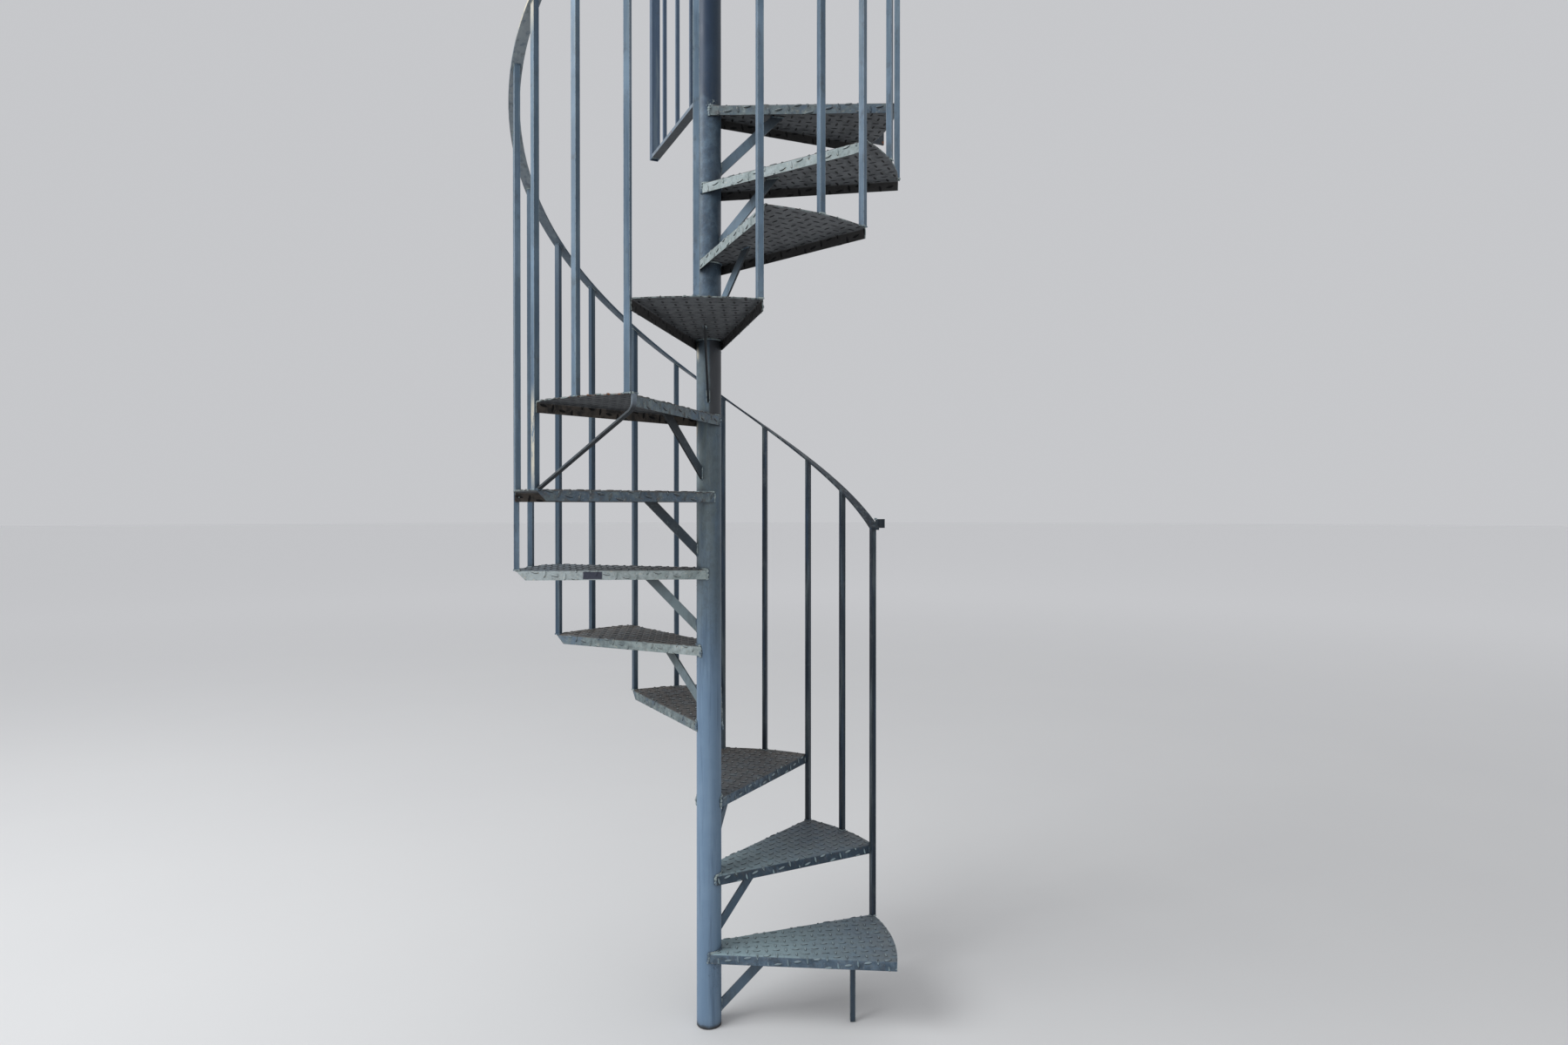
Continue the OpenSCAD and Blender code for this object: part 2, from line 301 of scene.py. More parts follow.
def flecked(finish, colour, fleck, scale, share):
    """Small flecks with ragged edges, in loose clumps; a larger share covers more of the surface."""
    grains = finish.noise(scale, 6.0, 0.7, None, 0.6)
    clumps = finish.noise(scale / 9, 3.0)
    mask = finish.fade(grains * 0.7 + clumps * 0.5, 0.86 - share, 0.89 - share)
    return finish.over(colour, mask, fleck), mask


def spotted(finish, colour, spots, coat):
    """Single spots at known places, each a place and a radius, with ragged borders."""
    ragged = finish.fade(finish.noise(150.0, 5.0, 0.7), 0.38, 0.52)
    for place, radius in spots:
        colour = finish.over(colour, finish.near(place, radius) * ragged, coat)
    return colour


# %% [markdown]
# ## The pole's finish
# The pole is the smoothest piece. Low down its paint is light and clean, with fine vertical streaks.
# Between the upper steps it is mottled, as if two coats show at once, and above the last step it
# is dark and even, partly its own paint and partly painted shade.

# %% Paint the pole
# Each coat takes over between two heights, which a noise moves down by up to 0.25
MIDDLE_COAT, UPPER_COAT, TOP_COAT = (1.1, 1.7), (2.10, 2.35), (2.93, 2.98)
# Heights of a painted shadow under the ninth step, and of two cream painted reflections
PAINTED_SHADOW_STRETCH = (1.85, 2.12)
REFLECTION_STRETCHES = ((1.76, 1.86), (2.05, 2.10))


def pole_paint():
    """The pole's coats one above the other, then painted light and shade on its sides, painted reflections,
    and its dirt.
    """
    finish = Finish("pole_paint")
    height = finish.axis("z")
    ragged = height + finish.noise(7.0, 4.0) * 0.25
    clouds = finish.fade(finish.noise(16.0, 6.0, 0.68, finish.stretched(1, 1, 0.35), 0.6), 0.42, 0.62)
    middle = finish.over(rgb(98, 111, 114), clouds * 0.8, rgb(80, 99, 116))
    colour = finish.over(BLUE_GREY, finish.fade(ragged, *MIDDLE_COAT), middle)
    colour = faded(finish, colour, PALE_BLUE, 0.30)
    colour = streaked(finish, colour, DEEP_BLUE, 0.42, 75.0)
    colour = streaked(finish, colour, PALE_BLUE, 0.28, 48.0)
    blotches = finish.fade(finish.noise(26.0, 7.0, 0.72, None, 0.3), 0.38, 0.64)
    upper = finish.over(rgb(66, 84, 102), blotches * 0.7, rgb(104, 126, 144))
    spots = finish.fade(finish.noise(52.0, 4.0, 0.6), 0.60, 0.66)
    upper = finish.over(upper, spots * 0.45, NIGHT_BLUE)
    colour = finish.over(colour, finish.fade(ragged, *UPPER_COAT), upper)
    # Above the last step the pole is dark, partly its own paint and partly painted shade
    top_coat = finish.over(NIGHT_BLUE, finish.fade(finish.noise(9.0, 4.0), 0.5, 0.7) * 0.3, DEEP_BLUE)
    colour = finish.over(colour, finish.fade(ragged, *TOP_COAT), top_coat)
    grain = finish.fade(finish.noise(95.0, 5.0, 0.7, finish.stretched(1, 1, 0.6)), 0.44, 0.62)
    colour = finish.over(colour, grain * finish.between(height, 1.2, 2.9, 0.15) * 0.30, IRON_GREY)

    # Its right side is painted darker as shade, and its left side paler as painted light in two stretches
    side = finish.facing("x")
    painted_shade_right = finish.fade(side, -0.1, 0.9) * (finish.fade(height, 0.9, 1.4) * 0.25 + 0.25)
    colour = finish.over(colour, painted_shade_right, DARK_BLUE)
    # Painted light on the left side, which faces the lamp
    left = finish.fade(side, -0.35, -0.85)
    colour = finish.over(colour, left * finish.between(height, 1.25, 1.85, 0.15) * 0.35, CHALK_GREEN)
    colour = finish.over(colour, left * finish.between(height, 2.2, 2.88, 0.05) * 0.30, CHALK_GREEN)

    # Under the ninth step one side carries a painted shadow, and cream painted reflections streak the other
    sideways = finish.axis("x") + finish.noise(30.0) * 0.008
    painted_shadow = finish.between(height, *PAINTED_SHADOW_STRETCH, 0.012) * finish.fade(sideways, 0.004, 0.014)
    colour = finish.over(colour, painted_shadow * 0.85, rgb(58, 58, 62))
    reflection_streaks = finish.fade(finish.noise(40.0, 4.0, 0.6, finish.stretched(1, 1, 0.2)), 0.44, 0.56)
    reflecting_side = finish.fade(sideways, -0.020, -0.030)
    for low, high in REFLECTION_STRETCHES:
        colour = finish.over(colour, reflection_streaks * reflecting_side * finish.between(height, low, high, 0.02) * 0.8, CREAM)
    muddy = finish.fade(height + finish.noise(60.0) * 0.02, 0.026, 0.012)
    colour = finish.over(colour, muddy * 0.9, DARK_BROWN)
    # Painted shade, with some soot, where the steps and struts meet the pole
    colour = finish.over(colour, finish.corners(0.05) * 0.8, SOOT_AND_SHADE)
    colour, flecks = flecked(finish, colour, DARK_RUST, 160.0, 0.01)
    gloss = finish.noise(18.0, 4.0) * 0.20 + 0.36
    relief = finish.noise(40.0, 5.0, 0.6, finish.stretched(1, 1, 0.1)) - flecks * 0.3
    return finish.close(colour, gloss + flecks * 0.3, relief, 0.0007, shine=0.35)


pole_finish = pole_paint()


# %% [markdown]
# ## The bars' and handrail's finish
# The square bars and the flat handrail carry the same paint as the pole, thinner on their edges,
# which are paler. A few rusty spots break out.

# %% Paint the bars
# Larger rust spots and their radii, on the bars over the corners of the sixth and seventh steps
BAR_RUST = (
    ((-0.574, -0.098, 1.851), 0.005),
    ((-0.580, -0.092, 1.805), 0.004),
    ((-0.441, -0.394, 1.850), 0.006),
    ((-0.441, -0.394, 1.843), 0.007),
    ((-0.441, -0.394, 1.836), 0.006),
    ((-0.441, -0.394, 1.828), 0.005),
    ((-0.436, -0.398, 2.884), 0.008),
)
# Where a cream reflection is painted on the left faces of the bar over the seventh step's corner
CREAM_REFLECTIONS = (((-0.436, -0.392, 1.78), 0.16), ((-0.436, -0.392, 3.02), 0.20))


def bar_paint(name, base, pale, edge_amount):
    """The paint of the bars or of the handrail, with painted shade where the stair shades itself."""
    finish = Finish(name)
    height = finish.axis("z")
    colour = faded(finish, base, pale, 0.45)
    # Painted shade on the bars behind the pole, darkest on the right and gone towards the top
    painted_shade_behind = finish.fade(finish.axis("y") + finish.noise(6.0) * 0.1, -0.02, 0.22)
    shady = finish.over(rgb(15, 25, 35), finish.fade(finish.axis("x"), 0.1, -0.2), rgb(56, 74, 90))
    colour = finish.over(colour, painted_shade_behind * finish.fade(height, 3.0, 2.2) * 0.95, shady)
    # Painted shade on the faces that turn to the right, away from the lamp
    colour = finish.over(colour, finish.fade(finish.facing("x"), 0.2, 0.8) * 0.40, DARK_BLUE)
    # Painted shade on the leg under the first step, below the bars' feet
    colour = finish.over(colour, finish.fade(height, 0.23, 0.19) * 0.8, rgb(40, 50, 60))
    beside_pole = finish.fade(finish.axis("y"), 0.04, 0.10) * finish.fade(finish.axis("x"), 0.25, 0.15)
    colour = finish.over(colour, beside_pole * finish.fade(height, 2.80, 2.86) * 0.7, rgb(66, 82, 104))
    colour = streaked(finish, colour, DEEP_BLUE, 0.5, 90.0)
    colour = streaked(finish, colour, CHALK_GREEN, 0.22, 55.0)
    smudges = finish.fade(finish.noise(38.0, 6.0, 0.7, finish.stretched(1, 1, 0.5)), 0.54, 0.68)
    colour = finish.over(colour, smudges * 0.45, IRON_GREY)
    worn = finish.edges(0.0028) * finish.fade(finish.noise(70.0, 5.0, 0.65), 0.34, 0.52)
    colour = finish.over(colour, worn * edge_amount * (1 - painted_shade_behind * 0.8), PALE_CHALK)
    # A cream reflection painted on the bar's left faces, broken up by a noise
    reflection_spots = finish.near(*CREAM_REFLECTIONS[0]) + finish.near(*CREAM_REFLECTIONS[1])
    reflection_breaks = finish.fade(finish.noise(60.0, 5.0, 0.7, finish.stretched(1, 1, 0.3)), 0.36, 0.48)
    colour = finish.over(colour, reflection_spots * reflection_breaks * finish.fade(finish.facing("x"), -0.5, -0.8), CREAM)
    # Painted shade, with some soot, in the corners
    colour = finish.over(colour, finish.corners(0.02) * 0.6, SOOT_AND_SHADE)
    colour, flecks = flecked(finish, colour, RUST, 120.0, 0.0)
    colour = spotted(finish, colour, BAR_RUST, RUST)
    gloss = finish.noise(30.0, 4.0) * 0.25 + 0.30
    relief = finish.noise(60.0, 5.0, 0.6, finish.stretched(1, 1, 0.3)) - flecks * 0.4
    return finish.close(colour, gloss, relief, 0.0008)


blue_bars = bar_paint("blue_bar_paint", BAR_BLUE, PALE_BLUE, 0.7)
rail_finish = bar_paint("handrail_paint", rgb(140, 147, 151), SLATE, 0.4)


# %% [markdown]
# ## The finish of the struts and other flats
# The flat bars under the steps hang in the shade, were painted in haste and are scratched, so their
# chips are larger. No two heights look alike: slate low down, pale green-grey in the middle of the
# flight, dark under steps seven to nine, and lighter steel blue on top. Every strut gets painted shade
# where it meets its plate. That place comes back at each rise, so the height modulo the rise finds it.

# %% Paint the flats
# Rust spots and their radii: the bent strap's top, the guard's rail and the bracket's far end
FLAT_RUST = (
    ((-0.152, -0.566, 1.872), 0.007),
    ((-0.152, 0.303, 2.880), 0.005),
    ((0.567, 0.267, 2.862), 0.008),
    ((0.567, 0.267, 2.828), 0.010),
)
# Heights where the pale struts begin, where the dark ones lie, and where the blue ones begin
PALE_STRUTS, DARK_STRUTS, BLUE_STRUTS = (0.68, 0.76), (1.44, 2.13), (2.11, 2.15)


def strut_tone(finish):
    """The struts' tone by height, with painted shade towards each plate."""
    height = finish.axis("z") + finish.noise(12.0) * 0.02
    tone = finish.over(rgb(84, 102, 118), finish.fade(height, *PALE_STRUTS), rgb(122, 136, 140))
    tone = finish.over(tone, finish.between(height, *DARK_STRUTS, 0.02), rgb(50, 59, 66))
    tone = finish.over(tone, finish.fade(height, *BLUE_STRUTS), rgb(112, 132, 148))
    # Painted shade under each plate, at the same place in every rise
    level = finish.axis("z") % RISE
    return finish.over(tone, finish.fade(level, 0.14, 0.22) * 0.75, rgb(60, 59, 58))


def flat_tone(finish):
    """Dark on the strap, but for its upper bend, as painted shade; dark on the bracket; pale on the guard's
    bottom rail.
    """
    # The strap is painted dark below its bend for the shade on it
    tone = finish.over(rgb(66, 70, 74), finish.fade(finish.axis("z"), 1.84, 1.875), rgb(118, 130, 142))
    return finish.over(tone, finish.fade(finish.axis("x"), 0.30, 0.40), rgb(44, 44, 45))


def flat_paint(name, tone):
    """The smeared and chipped paint of the flat bars, over a tone that a function picks."""
    finish = Finish(name)
    colour = faded(finish, tone(finish), SLATE, 0.25)
    smears = finish.noise(26.0, 6.0, 0.7, finish.stretched(1, 1, 0.4), 0.8)
    colour = finish.over(colour, finish.fade(smears, 0.48, 0.66) * 0.45, IRON_GREY)
    colour = finish.over(colour, finish.fade(finish.noise(80.0, 6.0, 0.75), 0.54, 0.68) * 0.35, GREEN_GREY)
    # Painted shade on the faces that look down
    colour = finish.over(colour, finish.fade(finish.facing("z"), -0.15, -0.6) * 0.85, SOOT_AND_SHADE)
    worn = finish.edges(0.0022) * finish.fade(finish.noise(55.0, 5.0, 0.7), 0.42, 0.56)
    colour = finish.over(colour, worn * finish.fade(finish.facing("z"), -0.2, 0.1) * 0.7, PALE_CHALK)
    # Painted shade, with some soot, in the corners
    colour = finish.over(colour, finish.corners(0.03) * 0.6, SOOT_AND_SHADE)
    colour, chips = flecked(finish, colour, SOOT_AND_SHADE, 60.0, 0.01)
    colour, flecks = flecked(finish, colour, RUST, 90.0, -0.01)
    colour = spotted(finish, colour, FLAT_RUST, RUST)
    gloss = finish.noise(24.0, 4.0) * 0.25 + 0.36
    relief = finish.noise(45.0, 6.0, 0.7) - chips * 0.6 - flecks * 0.4
    return finish.close(colour, gloss, relief, 0.0014)


struts = flat_paint("strut_paint", strut_tone)
flats = flat_paint("flat_paint", flat_tone)


# %% [markdown]
# ## The plates' finish
# Each step's paint follows its relief. The mesh carries a number for every point, its lift over the
# sheet's outer side in millimetres: above zero is a lozenge, minus three is the inner side, and a
# little more than that is a dent. A second number tells the flat top from the flange. Feet keep the
# lozenges of the top clean and dirt settles between them, and their slopes carry painted shade. Those
# of the flanges have painted shade underneath and painted light on top, the inner side is dark, and
# the dents hold painted shade. Four more numbers say how dirty, chalky, sooty and rusty that one step is.

# %% Paint the plates
# The touched-up patch: its step, how far out it lies on the rear flange, and how far below the top
TOUCHED_STEP = "tread_06"
TOUCHED_RUN = (0.323, 0.380)
TOUCHED_DEPTHS = (0.0285, 0.006)


def plate_paint():
    """The flanges', the tops' and the undersides' colours, each laid where the relief says."""
    finish = Finish("plate_paint")
    lift, turn, grime, chalk, soot, rusted = [
        finish.add("ShaderNodeAttribute", {"attribute_name": name}, None, "Fac")
        for name in ("lift", "turn", "grime", "chalk", "soot", "rusted")]
    up = finish.facing("z")
    raised = finish.fade(lift, 0.15, 0.6)
    crest = finish.fade(lift, 1.5, 2.1)
    slope = raised * (1 - crest)
    grit = finish.noise(75.0, 6.0, 0.75)
    stains = finish.noise(21.0, 6.0, 0.68, None, 1.0)
    reach = finish.vectors("LENGTH", finish.stretched(1, 1, 0))

    # The folded edges, from a dark coat to a pale one as the chalk rises
    tone = chalk + (stains - 0.5) * 1.3 + (finish.noise(9.0) - 0.5) * 0.5
    flange = finish.over(rgb(50, 66, 80), finish.fade(tone, -0.05, 0.40), SLATE)
    flange = finish.over(flange, finish.fade(tone, 0.32, 0.72), GREEN_GREY)
    flange = finish.over(flange, finish.fade(tone, 0.62, 1.00), CHALK_GREEN)
    flange = finish.over(flange, finish.fade(tone, 0.95, 1.30) * 0.7, PALE_CHALK)
    blots = finish.fade(finish.noise(30.0, 6.0, 0.7, None, 0.8), 0.62, 0.44)
    flange = finish.over(flange, blots * soot * 0.7, IRON_GREY)
    flange = finish.over(flange, raised * soot * 0.7, finish.over(IRON_GREY, stains, DARK_BROWN))
    flange = finish.over(flange, crest * finish.fade(chalk, 0.45, 0.10) * 0.9, WORN_BLUE)
    spills = finish.fade(finish.noise(55.0, 5.0, 0.7), 0.50, 0.62)
    flange = finish.over(flange, spills * (soot * 0.4 + 0.20), DIRT_BROWN)
    flange = finish.over(flange, finish.fade(grit, 0.54, 0.66) * 0.45, IRON_GREY)
    flange = finish.over(flange, finish.fade(finish.noise(130.0, 4.0, 0.7), 0.60, 0.66) * chalk * 0.5, CREAM)
    # Painted shade on the lozenges' lower slopes and painted light on their upper ones
    flange = finish.over(flange, raised * finish.fade(up, -0.10, -0.45) * 0.9, SOOT_AND_SHADE)
    flange = finish.over(flange, raised * finish.fade(up, 0.10, 0.45) * 0.30, PALE_CHALK)

    # The top, where feet keep the crests clean
    fresh = finish.fade(grime, 0.5, 0.1)
    tread = finish.over(SLATE, finish.fade(stains, 0.40, 0.62) * 0.5, GREEN_GREY)
    tread = finish.over(tread, fresh * (finish.fade(reach, 0.50, 0.15) * 0.7 + 0.3), WORN_BLUE)
    tread = finish.over(tread, finish.fade(grime, 0.2, 0.8) * 0.85, rgb(94, 99, 103))
    tread = finish.over(tread, finish.fade(grit, 0.50, 0.66) * 0.45, IRON_GREY)
    silt = finish.fade(finish.noise(26.0, 6.0, 0.72), 0.30, 0.55)
    tread = finish.over(tread, silt * (1 - crest * 0.5) * grime * 0.8, DIRT_BROWN)
    tread = finish.over(tread, finish.fade(reach, 0.46, 0.57) * silt * grime * 0.7, DIRT_BROWN)
    # Painted shade on the lozenges' slopes, darker on the sides that face right
    tread = finish.over(tread, slope * (finish.fade(finish.facing("x"), 0.02, 0.20) * 0.4 + 0.55), SOOT_AND_SHADE)
    tread = finish.over(tread, crest * finish.fade(finish.noise(90.0, 4.0), 0.40, 0.58) * 0.4, CHALK_GREEN)

    # The underside, sooty, browner inside the flanges, and darkest in the dents with painted shade
    shade = finish.over(BELOW_GREY, finish.fade(stains, 0.42, 0.62) * 0.45, SOOT_AND_SHADE)
    shade = finish.over(shade, soot * 0.75, SOOT_AND_SHADE)
    brown = finish.fade(stains, 0.60, 0.44) * finish.fade(finish.axis("z"), 2.10, 1.95)
    inner = finish.over(rgb(46, 44, 43), brown * 0.9, DIRT_BROWN)
    shade = finish.over(shade, finish.fade(turn, 0.2, 0.9) * 0.85, inner)
    # Painted shade in the dents
    shade = finish.over(shade, finish.fade(lift, -2.90, -2.4) * 0.95, rgb(18, 19, 21))

    colour = finish.over(tread, finish.fade(turn, 0.45, 0.85), flange)
    # Painted shade, with dirt, in the creases round the lozenges and between pieces
    colour = finish.over(colour, finish.corners(0.009) * finish.fade(grit, 0.30, 0.48) * 0.85, SOOT_AND_SHADE)
    colour = finish.over(colour, finish.fade(lift, -0.8, -1.2), shade)

    # A patch of darker paint where one flange was touched up
    out, along = [seat_of(TOUCHED_STEP).to_3x3() @ way for way in REAR]
    run = finish.along(along) + finish.noise(50.0) * 0.004
    lower, upper = [top_of(TOUCHED_STEP) - depth for depth in TOUCHED_DEPTHS]
    touched = finish.between(run, *TOUCHED_RUN, 0.002)
    touched = touched * finish.between(finish.axis("z"), lower, upper, 0.0015)
    touched = touched * finish.fade(finish.along(out), EDGE - 0.002, EDGE - 0.001)
    colour = finish.over(colour, touched * 0.95, TOUCH_UP)

    # The sheared outer edge, bare and pale or rusty
    rim = finish.fade(reach, TREAD_RADIUS - 0.0025, TREAD_RADIUS - 0.0008)
    bare = finish.fade(finish.noise(45.0, 5.0, 0.7), 0.42, 0.56)
    colour = finish.over(colour, rim * bare * 0.6, CHALK_GREEN)
    old_rust = finish.fade(finish.noise(38.0, 5.0, 0.7), 0.52, 0.40)
    colour = finish.over(colour, rim * old_rust * rusted, DARK_RUST)
    new_rust = finish.fade(finish.noise(85.0, 5.0, 0.7), 0.54, 0.60)
    colour = finish.over(colour, rim * new_rust * rusted, RUST)
    colour, flecks = flecked(finish, colour, DARK_RUST, 85.0, -0.01)
    colour = flecked(finish, colour, RUST, 70.0, -0.02)[0]
    gloss = finish.noise(30.0, 5.0) * 0.25 + 0.36 + (1 - crest) * grime * 0.2
    relief = finish.noise(48.0, 6.0, 0.7) - flecks * 0.6
    return finish.close(colour, gloss, relief, 0.0022, 0.0006)


plates = plate_paint()


# %% [markdown]
# ## The weld beads' finish
# The beads were painted over with the rest, but not in every ripple: they are slate and pale green
# in patches, have more rust, and are darkened in their corners by painted shade with some soot. The colour
# of a bead is the weld's own, whatever it joins.

# %% Paint the welds


def weld_paint():
    """Patchy paint with rust, for all beads."""
    finish = Finish("weld_paint")
    colour = finish.over(SLATE, finish.fade(finish.noise(30.0, 5.0, 0.7), 0.42, 0.56), CHALK_GREEN)
    # Painted shade, with some soot, in the corners round the beads
    colour = finish.over(colour, finish.corners(0.008) * 0.8, SOOT_AND_SHADE)
    colour, flecks = flecked(finish, colour, DARK_RUST, 110.0, 0.08)
    colour, spots = flecked(finish, colour, RUST, 150.0, 0.01)
    height = finish.noise(200.0, 5.0, 0.65) - flecks * 0.5
    return finish.close(colour, finish.noise(40.0) * 0.3 + 0.35 + spots * 0.2, height, 0.0010)


welds = weld_paint()

# %% [markdown]
# ## The frame's nodes take their paint
# A node of the frame keeps its shape and only changes its material. The bars and the handrail are
# named here, the struts go by their names, and what is left are the other flats. The steps get the
# flats' paint too, but embossed ones take their place.

# %% Put the paint on the frame's nodes
PAINT_OF = {"centre_pole": pole_finish, "pole_cap": pole_finish,
            "handrail": rail_finish, "handrail_wall_tie": rail_finish}
for name in ("corner_balusters", "middle_balusters", "first_tread_leg",
             "guard_bars", "guard_top_rail", "guard_post"):
    PAINT_OF[name] = blue_bars
for name, node in nodes.items():
    node.data.materials.clear()
    node.data.materials.append(PAINT_OF.get(name, struts if name.startswith("strut_") else flats))
print(f"{len(bpy.data.materials)} materials on {len(nodes)} nodes")

# %% [markdown]
# ## Checker plate, pressed and folded
# Checker plate comes from the mill with rows of short raised lozenges, each turned a quarter from
# its neighbours, and with a shallow dent under every one. It is cut and folded afterwards, so
# the lozenges run round the folds and are cut off at the outer arc. A bump texture would show
# none of that in outline. So each lozenge is drawn on the flat sheet and carried through the same
# fold as the plate, and then joined to the plate by a boolean. The pattern never lines up with the
# step: each blank was cut where it fitted the sheet, so each has its own small turn and shift.

# %% Follow the fold
BEND_START = EDGE - FOLD_RADIUS
BEND_LENGTH = FOLD_RADIUS * pi / 2


def nearer_side(point):
    """The side whose fold is nearer, and how far the point lies past where that bend starts."""
    side = REAR if point.y > 0 else FRONT
    return side, point.dot(side[0]) - BEND_START


def folded(u, v, lift):
    """The point of the flat sheet at u, v, carried through the fold and lifted off its outer side."""
    (normal, _), past = nearer_side(Vector((u, v, 0)))
    if past <= 0:
        return Vector((u, v, lift))
    turn = min(past / FOLD_RADIUS, pi / 2)
    out = normal * sin(turn) + Vector((0, 0, cos(turn)))
    start = Vector((u, v, -FOLD_RADIUS)) - normal * past
    return start + out * (FOLD_RADIUS + lift) - Vector((0, 0, max(past - BEND_LENGTH, 0)))


def lift_at(point):
    """The reverse: how far a point of the folded sheet stands off its outer side."""
    past = nearer_side(point)[1]
    if past <= 0:
        return point.z
    return hypot(past, max(point.z + FOLD_RADIUS, 0)) - FOLD_RADIUS


def turn_at(point):
    """0 on the flat top, 1 on a flange, and between them on the bend."""
    past = nearer_side(point)[1]
    return atan2(past, max(point.z + FOLD_RADIUS, 0)) * 2 / pi if past > 0 else 0


SAMPLE = Vector((0.3, 0.13, 0))
sample_past = nearer_side(SAMPLE)[1]
print(f"{sample_past * 1000:.0f} mm past the bend's start lands at {tuple(folded(*SAMPLE))}")

# %% Press the lozenges
PITCH = 0.030
LOZENGE = Vector((0.0245, 0.0082))
# Each level is a share of the lozenge's length and width, and a lift from the sheet's outer side
RAISED = ((1.04, 1.12, -0.0006), (1.0, 1.0, 0.0004), (0.86, 0.74, 0.0017), (0.62, 0.38, 0.0022))
SUNK = ((1.0, 1.1, -SHEET - 0.0006), (0.97, 0.97, -SHEET + 0.0003), (0.74, 0.52, -SHEET + 0.0014))
OUTLINE_POINTS = 12


def press(shape, u, v, turn, levels):
    """Adds one closed lozenge to the bmesh, as rings of its outline at rising levels."""
    rings = []
    for long_share, wide_share, lift in levels:
        ring = []
        for i in range(OUTLINE_POINTS):
            # An ellipse that is drawn in towards its two ends
            t = 2 * pi * i / OUTLINE_POINTS
            x = LOZENGE.x / 2 * long_share * cos(t)
            y = LOZENGE.y / 2 * wide_share * sin(t) * (0.55 + 0.45 * abs(sin(t)))
            spot = Vector((x, y))
            spot.rotate(Matrix.Rotation(turn, 2))
            ring.append(shape.verts.new(folded(u + spot.x, v + spot.y, lift)))
        rings.append(ring)
    for low, high in zip(rings, rings[1:]):
        for i in range(OUTLINE_POINTS):
            shape.faces.new((low[i - 1], low[i], high[i], high[i - 1]))
    shape.faces.new(reversed(rings[0]))
    shape.faces.new(rings[-1])


# %% [markdown]
# A boolean needs closed meshes. The node's mesh is split along its hard edges for shading, so its
# doubled points are merged first. The manifold solver takes a fraction of a second for a step. It
# can leave a leaf, two faces back to back with nothing between them, and an exported mesh would get
# a hole there, so leaves are deleted.

# %% Join closed meshes
SAME_POINT = 1e-5
NO_LENGTH = 1e-6


def mesh_of(shape, name="made"):
    """A mesh from a bmesh, with its faces turned outwards."""
    bmesh.ops.recalc_face_normals(shape, faces=shape.faces)
    mesh = bpy.data.meshes.new(name)
    shape.to_mesh(mesh)
    shape.free()
    return mesh


def merged(mesh):
    """A copy of the mesh with the points that lie on each other made one."""
    shape = bmesh.new()
    shape.from_mesh(mesh)
    bmesh.ops.remove_doubles(shape, verts=shape.verts, dist=SAME_POINT)
    return mesh_of(shape)


def combined(base, operation, other):
    """The mesh of base joined with, cut by or trimmed to the other mesh."""
    pair = [bpy.data.objects.new("combining", mesh) for mesh in (base, other)]
    for item in pair:
        bpy.context.scene.collection.objects.link(item)
    step = pair[0].modifiers.new("combine", "BOOLEAN")
    step.operation, step.solver, step.object = operation, "MANIFOLD", pair[1]
    made = bpy.data.meshes.new_from_object(pair[0].evaluated_get(bpy.context.evaluated_depsgraph_get()))
    for item in pair:
        bpy.data.objects.remove(item)
    return made


def without_leaves(mesh):
    """A copy of the mesh without faces on the same points, and without edges of no length."""
    shape = bmesh.new()
    shape.from_mesh(mesh)
    by_points = {}
    for face in shape.faces:
        by_points.setdefault(frozenset(face.verts), []).append(face)
    leaves = [face for faces in by_points.values() if len(faces) > 1 for face in faces]
    bmesh.ops.delete(shape, geom=leaves, context="FACES")
    bmesh.ops.dissolve_degenerate(shape, edges=shape.edges, dist=NO_LENGTH)
    return mesh_of(shape)


def ring_band(inner, outer, low, high, sides=144):
    """A closed ring of rectangular section round the pole's axis."""
    shape = bmesh.new()
    corners = ((inner, low), (outer, low), (outer, high), (inner, high))
    rings = [[shape.verts.new((r * cos(2 * pi * i / sides), r * sin(2 * pi * i / sides), z))
              for r, z in corners] for i in range(sides)]
    for i in range(sides):
        for j in range(4):
            shape.faces.new((rings[i - 1][j - 1], rings[i - 1][j], rings[i][j], rings[i][j - 1]))
    return mesh_of(shape)


# %% [markdown]
# The rear flanges of the lower steps end in a 45 degree cut and the last step's front flange
# is cut short, so a lozenge is pressed there only where all of it still lies on the steel.

# %% Lay out the pattern
# Along the fold: where the 45 degree cuts start, short of the corner, and how far the last step's ends
CUT_START = 0.003
LAST_CUTBACK = 0.030
LAST_MITRED = 8
# The pattern keeps this far inside the plate's outer and lower edges
MARGIN = 0.0005
CORNER_RUN = TREAD_RADIUS * cos(asin(EDGE / TREAD_RADIUS))
# Rows enough to cover a step, whatever its turn and shift
ROWS_OUT, ROWS_ACROSS = range(-3, 24), range(-12, 13)


def room_along(number, side):
    """How far out a step's flange reaches at its upper edge, and how much less with each depth."""
    if side is REAR and number <= LAST_MITRED:
        return CORNER_RUN - CUT_START, 1
    if side is FRONT and number == len(TREADS):
        return CORNER_RUN - LAST_CUTBACK, 0
    return 2 * TREAD_RADIUS, 0


def fits(number, u, v):
    """True where a lozenge at this place of the flat sheet stays on the steel."""
    spot = Vector((u, v, 0))
    side, past = nearer_side(spot)
    half = LOZENGE.x / 2
    if past < -half:
        return spot.x > POLE_RADIUS / 2
    run = spot.dot(side[1])
    depth = max(past - BEND_LENGTH, 0) + FOLD_RADIUS
    room, lean = room_along(number, side)
    if depth > FLANGE or run < half:
        return False
    return past < 0 or run + half + lean * (depth + half) < room


